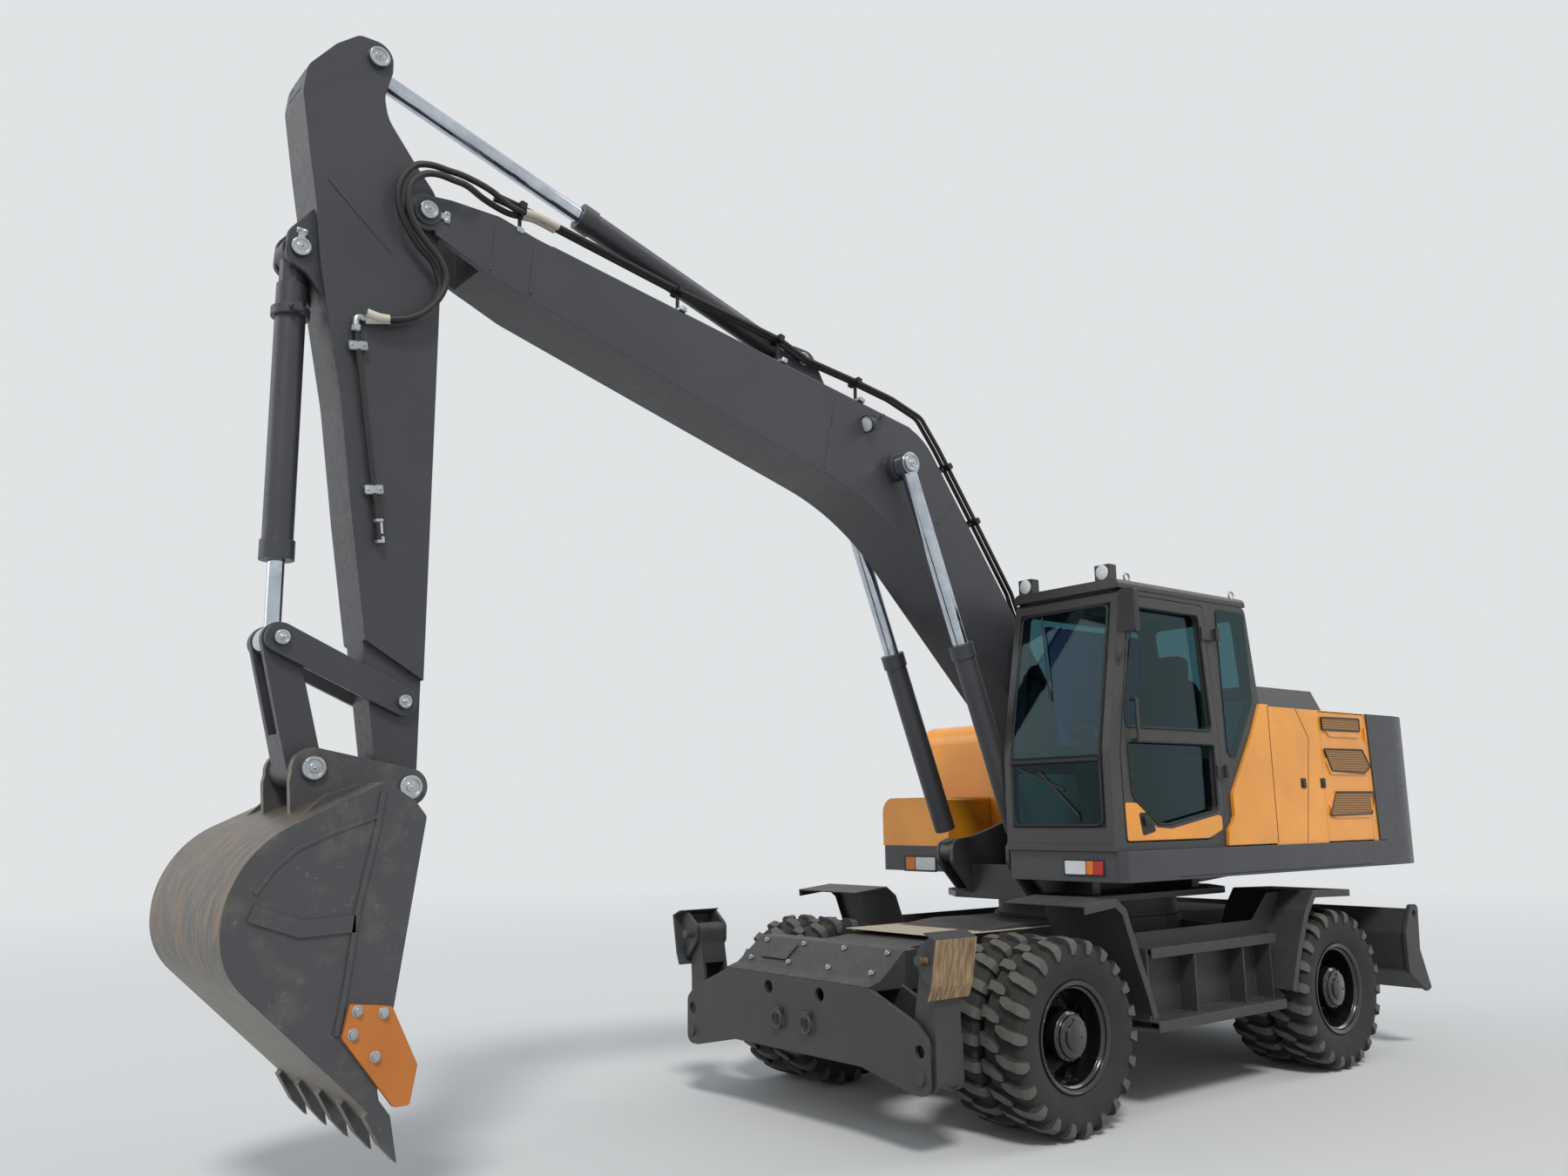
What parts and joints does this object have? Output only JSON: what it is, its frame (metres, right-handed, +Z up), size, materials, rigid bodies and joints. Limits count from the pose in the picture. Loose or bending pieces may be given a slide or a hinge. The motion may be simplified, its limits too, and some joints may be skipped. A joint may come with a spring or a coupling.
{
  "type": "wheeled excavator",
  "caption": "Wheeled excavator with twin tyres, slewing cab, one-piece boom, arm and toothed bucket, front outriggers and rear dozer blade.",
  "frame": {"origin": "middle of the bounding box on the ground under the tyres; the slew axis is 1.603 m behind it", "axes": "+X forward along the boom to the bucket, +Y to the operator's left, +Z up"},
  "size_m": [8.6855, 2.592, 5.541],
  "materials": {
    "grey_paint": "semi-gloss, worn",
    "orange_paint": "gloss",
    "chassis_paint": "dusty",
    "black_paint": "gloss",
    "guard_paint": "dusty",
    "cast_iron": "oily",
    "worn_steel": "worn, rust stained",
    "foot_paint": "scraped",
    "rod_chrome": "polished",
    "tyre_rubber": "dusty",
    "cab_glass": "tinted",
    "seat_fabric": "matt",
    "trim_plastic": "matt",
    "pipe_steel": "satin"
  },
  "bodies": {
    "chassis": {"chassis_frame": "chassis_paint", "front_axle": "cast_iron", "rear_axle": "cast_iron", "side_steps_left": "guard_paint", "side_steps_right": "guard_paint", "slew_ring": "chassis_paint", "outrigger_frame": "grey_paint"},
    "wheel_front_left": {"tyres_front_left": "tyre_rubber", "rims_front_left": "black_paint"},
    "wheel_front_right": {"tyres_front_right": "tyre_rubber", "rims_front_right": "black_paint"},
    "wheel_rear_left": {"tyres_rear_left": "tyre_rubber", "rims_rear_left": "black_paint"},
    "wheel_rear_right": {"tyres_rear_right": "tyre_rubber", "rims_rear_right": "black_paint"},
    "knuckle_left": {"knuckle_left": "cast_iron"},
    "knuckle_right": {"knuckle_right": "cast_iron"},
    "steering_rod": {"steering_rod": "rod_chrome"},
    "leg_left": {"leg_left": "grey_paint"},
    "foot_left": {"foot_left": "foot_paint"},
    "leg_barrel_left": {"leg_barrel_left": "grey_paint"},
    "leg_rod_left": {"leg_rod_left": "rod_chrome"},
    "leg_right": {"leg_right": "grey_paint"},
    "foot_right": {"foot_right": "foot_paint"},
    "leg_barrel_right": {"leg_barrel_right": "grey_paint"},
    "leg_rod_right": {"leg_rod_right": "rod_chrome"},
    "blade": {"blade": "guard_paint"},
    "blade_barrels": {"blade_barrels": "guard_paint"},
    "blade_rods": {"blade_rods": "rod_chrome"},
    "upper": {"upper_frame": "chassis_paint", "counterweight": "grey_paint", "engine": "cast_iron", "side_panels": "orange_paint", "fuel_tank": "orange_paint", "toolbox": "orange_paint", "cab_frame": "grey_paint", "cab_roof": "grey_paint", "cab_floor": "guard_paint", "cab_glass": "cab_glass", "seat": "seat_fabric", "console": "trim_plastic"},
    "service_door_left": {"service_door_left": "orange_paint"},
    "service_door_right": {"service_door_right": "orange_paint"},
    "hood": {"hood": "black_paint"},
    "cab_door": {"cab_door": "grey_paint", "door_glass": "cab_glass"},
    "boom": {"boom": "grey_paint", "boom_pipes": "pipe_steel"},
    "boom_barrels": {"boom_barrels": "grey_paint"},
    "boom_rods": {"boom_rods": "rod_chrome"},
    "arm": {"arm": "grey_paint"},
    "arm_barrel": {"arm_barrel": "grey_paint"},
    "arm_rod": {"arm_rod": "rod_chrome"},
    "bucket_barrel": {"bucket_barrel": "grey_paint"},
    "bucket_rod": {"bucket_rod": "rod_chrome"},
    "rockers": {"rockers": "worn_steel"},
    "bucket_link": {"bucket_link": "worn_steel"},
    "bucket": {"bucket": "worn_steel", "side_cutters": "worn_steel"}
  },
  "joints": [
    {"name": "swing", "type": "hinge", "parent": "chassis", "child": "upper", "pos_m": [-1.603, 0, 1.15], "axis": [0, 0, 1], "continuous": true},
    {"name": "steer_left", "type": "hinge", "parent": "chassis", "child": "knuckle_left", "pos_m": [0.08, 0.78, 0.522], "axis": [0, 0, 1], "range_deg": [-22, 22]},
    {"name": "steer_right", "type": "hinge", "parent": "chassis", "child": "knuckle_right", "pos_m": [0.08, -0.78, 0.522], "axis": [0, 0, 1], "range_deg": [-22, 22]},
    {"name": "steering_rod_slide", "type": "slide", "parent": "chassis", "child": "steering_rod", "axis": [0, 1, 0], "range_m": [-0.04808, 0.04808]},
    {"name": "wheel_front_left_spin", "type": "hinge", "parent": "knuckle_left", "child": "wheel_front_left", "pos_m": [0.08, 0.945, 0.522], "axis": [0, 1, 0], "continuous": true},
    {"name": "wheel_front_right_spin", "type": "hinge", "parent": "knuckle_right", "child": "wheel_front_right", "pos_m": [0.08, -0.945, 0.522], "axis": [0, 1, 0], "continuous": true},
    {"name": "wheel_rear_left_spin", "type": "hinge", "parent": "chassis", "child": "wheel_rear_left", "pos_m": [-2.713, 0.945, 0.522], "axis": [0, 1, 0], "continuous": true},
    {"name": "wheel_rear_right_spin", "type": "hinge", "parent": "chassis", "child": "wheel_rear_right", "pos_m": [-2.713, -0.945, 0.522], "axis": [0, 1, 0], "continuous": true},
    {"name": "leg_left_swing", "type": "hinge", "parent": "chassis", "child": "leg_left", "pos_m": [0.9295, 1.008, 0.405], "axis": [-1, 0, 0], "range_deg": [0, 115]},
    {"name": "foot_left_tilt", "type": "hinge", "parent": "leg_left", "child": "foot_left", "pos_m": [0.9295, 1.048, 0.985], "axis": [1, 0, 0], "range_deg": [0, 45]},
    {"name": "leg_left_barrel_turn", "type": "hinge", "parent": "chassis", "child": "leg_barrel_left", "pos_m": [0.9295, 0.19, 0.62], "axis": [-1, 0, 0], "range_deg": [-0.3, 10.19]},
    {"name": "leg_left_rod_slide", "type": "slide", "parent": "leg_barrel_left", "child": "leg_rod_left", "axis": [0, 0.9949, -0.1009], "range_m": [-0.004, 0.15855]},
    {"name": "leg_right_swing", "type": "hinge", "parent": "chassis", "child": "leg_right", "pos_m": [0.9295, -1.008, 0.405], "axis": [1, 0, 0], "range_deg": [0, 115]},
    {"name": "foot_right_tilt", "type": "hinge", "parent": "leg_right", "child": "foot_right", "pos_m": [0.9295, -1.048, 0.985], "axis": [-1, 0, 0], "range_deg": [0, 45]},
    {"name": "leg_right_barrel_turn", "type": "hinge", "parent": "chassis", "child": "leg_barrel_right", "pos_m": [0.9295, -0.19, 0.62], "axis": [1, 0, 0], "range_deg": [-0.3, 10.19]},
    {"name": "leg_right_rod_slide", "type": "slide", "parent": "leg_barrel_right", "child": "leg_rod_right", "axis": [0, -0.9949, -0.1009], "range_m": [-0.004, 0.15855]},
    {"name": "blade_lift", "type": "hinge", "parent": "chassis", "child": "blade", "pos_m": [-3.243, 0, 0.56], "axis": [0, -1, 0], "range_deg": [-5, 36]},
    {"name": "blade_barrel_turn", "type": "hinge", "parent": "chassis", "child": "blade_barrels", "pos_m": [-3.243, 0, 0.9], "axis": [0, -1, 0], "range_deg": [-2.9, 19.02]},
    {"name": "blade_rod_slide", "type": "slide", "parent": "blade_barrels", "child": "blade_rods", "axis": [-0.7986, 0, -0.6019], "range_m": [-0.02497, 0.15498]},
    {"name": "cab_door_hinge", "type": "hinge", "parent": "upper", "child": "cab_door", "pos_m": [-1.508, 1.246, 2.29], "axis": [0, 0, 1], "range_deg": [0, 165]},
    {"name": "service_door_left_hinge", "type": "hinge", "parent": "upper", "child": "service_door_left", "pos_m": [-3.333, 1.243, 1.945], "axis": [0, 0, 1], "range_deg": [0, 110]},
    {"name": "service_door_right_hinge", "type": "hinge", "parent": "upper", "child": "service_door_right", "pos_m": [-3.333, -1.243, 1.945], "axis": [0, 0, -1], "range_deg": [0, 110]},
    {"name": "hood_hinge", "type": "hinge", "parent": "upper", "child": "hood", "pos_m": [-3.344, 0, 2.416], "axis": [0, -1, 0], "range_deg": [0, 70]},
    {"name": "boom_lift", "type": "hinge", "parent": "upper", "child": "boom", "pos_m": [-1.423, 0, 1.88], "axis": [0, -1, 0], "range_deg": [-55, 28]},
    {"name": "boom_barrel_turn", "type": "hinge", "parent": "upper", "child": "boom_barrels", "pos_m": [-0.593, 0, 1.465], "axis": [0, -1, 0], "range_deg": [-58.24, 29.8]},
    {"name": "boom_rod_slide", "type": "slide", "parent": "boom_barrels", "child": "boom_rods", "axis": [0.3598, 0, 0.933], "range_m": [-0.80055, 0.40952]},
    {"name": "arm_swing", "type": "hinge", "parent": "boom", "child": "arm", "pos_m": [3.484, 0, 4.695], "axis": [0, 1, 0], "range_deg": [-80, 24]},
    {"name": "arm_barrel_turn", "type": "hinge", "parent": "boom", "child": "arm_barrel", "pos_m": [0.997, 0, 4.51], "axis": [0, 1, 0], "range_deg": [-4.3, 1.5]},
    {"name": "arm_rod_slide", "type": "slide", "parent": "arm_barrel", "child": "arm_rod", "axis": [0.9463, 0, 0.3233], "range_m": [-0.92316, 0.27975]},
    {"name": "bucket_curl", "type": "hinge", "parent": "arm", "child": "bucket", "pos_m": [3.463, 0, 1.867], "axis": [0, 1, 0], "range_deg": [-25, 125]},
    {"name": "rocker_turn", "type": "hinge", "parent": "arm", "child": "rockers", "pos_m": [3.479, 0, 2.261], "axis": [0, 1, 0], "range_deg": [-17.87, 88.15]},
    {"name": "bucket_link_turn", "type": "hinge", "parent": "rockers", "child": "bucket_link", "pos_m": [4.048, 0, 2.518], "axis": [0, 1, 0], "range_deg": [-43.77, 8.99]},
    {"name": "bucket_barrel_turn", "type": "hinge", "parent": "arm", "child": "bucket_barrel", "pos_m": [4.058, 0, 4.37], "axis": [0, 1, 0], "range_deg": [-0.99, 3.77]},
    {"name": "bucket_rod_slide", "type": "slide", "parent": "bucket_barrel", "child": "bucket_rod", "axis": [-0.0054, 0, -1], "range_m": [-0.1664, 0.81601]}
  ],
  "couplings": [
    {"joint": "steer_right", "follows": "steer_left", "ratio": 1},
    {"joint": "steering_rod_slide", "follows": "steer_left", "m_per_rad": -0.12},
    {"joint": "leg_left_barrel_turn", "follows": "leg_left_swing", "ratio": 0.086},
    {"joint": "leg_left_rod_slide", "follows": "leg_left_swing", "m_per_rad": 0.077},
    {"joint": "leg_right_barrel_turn", "follows": "leg_right_swing", "ratio": 0.086},
    {"joint": "leg_right_rod_slide", "follows": "leg_right_swing", "m_per_rad": 0.077},
    {"joint": "blade_barrel_turn", "follows": "blade_lift", "ratio": 0.5201},
    {"joint": "blade_rod_slide", "follows": "blade_lift", "m_per_rad": 0.2403},
    {"joint": "boom_barrel_turn", "follows": "boom_lift", "ratio": 1.0534},
    {"joint": "boom_rod_slide", "follows": "boom_lift", "m_per_rad": 0.8298},
    {"joint": "arm_barrel_turn", "follows": "arm_swing", "ratio": 0.05},
    {"joint": "arm_rod_slide", "follows": "arm_swing", "m_per_rad": 0.6583},
    {"joint": "rocker_turn", "follows": "bucket_curl", "ratio": 0.7028},
    {"joint": "bucket_link_turn", "follows": "bucket_curl", "ratio": -0.3478},
    {"joint": "bucket_barrel_turn", "follows": "bucket_curl", "ratio": 0.0278},
    {"joint": "bucket_rod_slide", "follows": "bucket_curl", "m_per_rad": 0.3722}
  ]
}
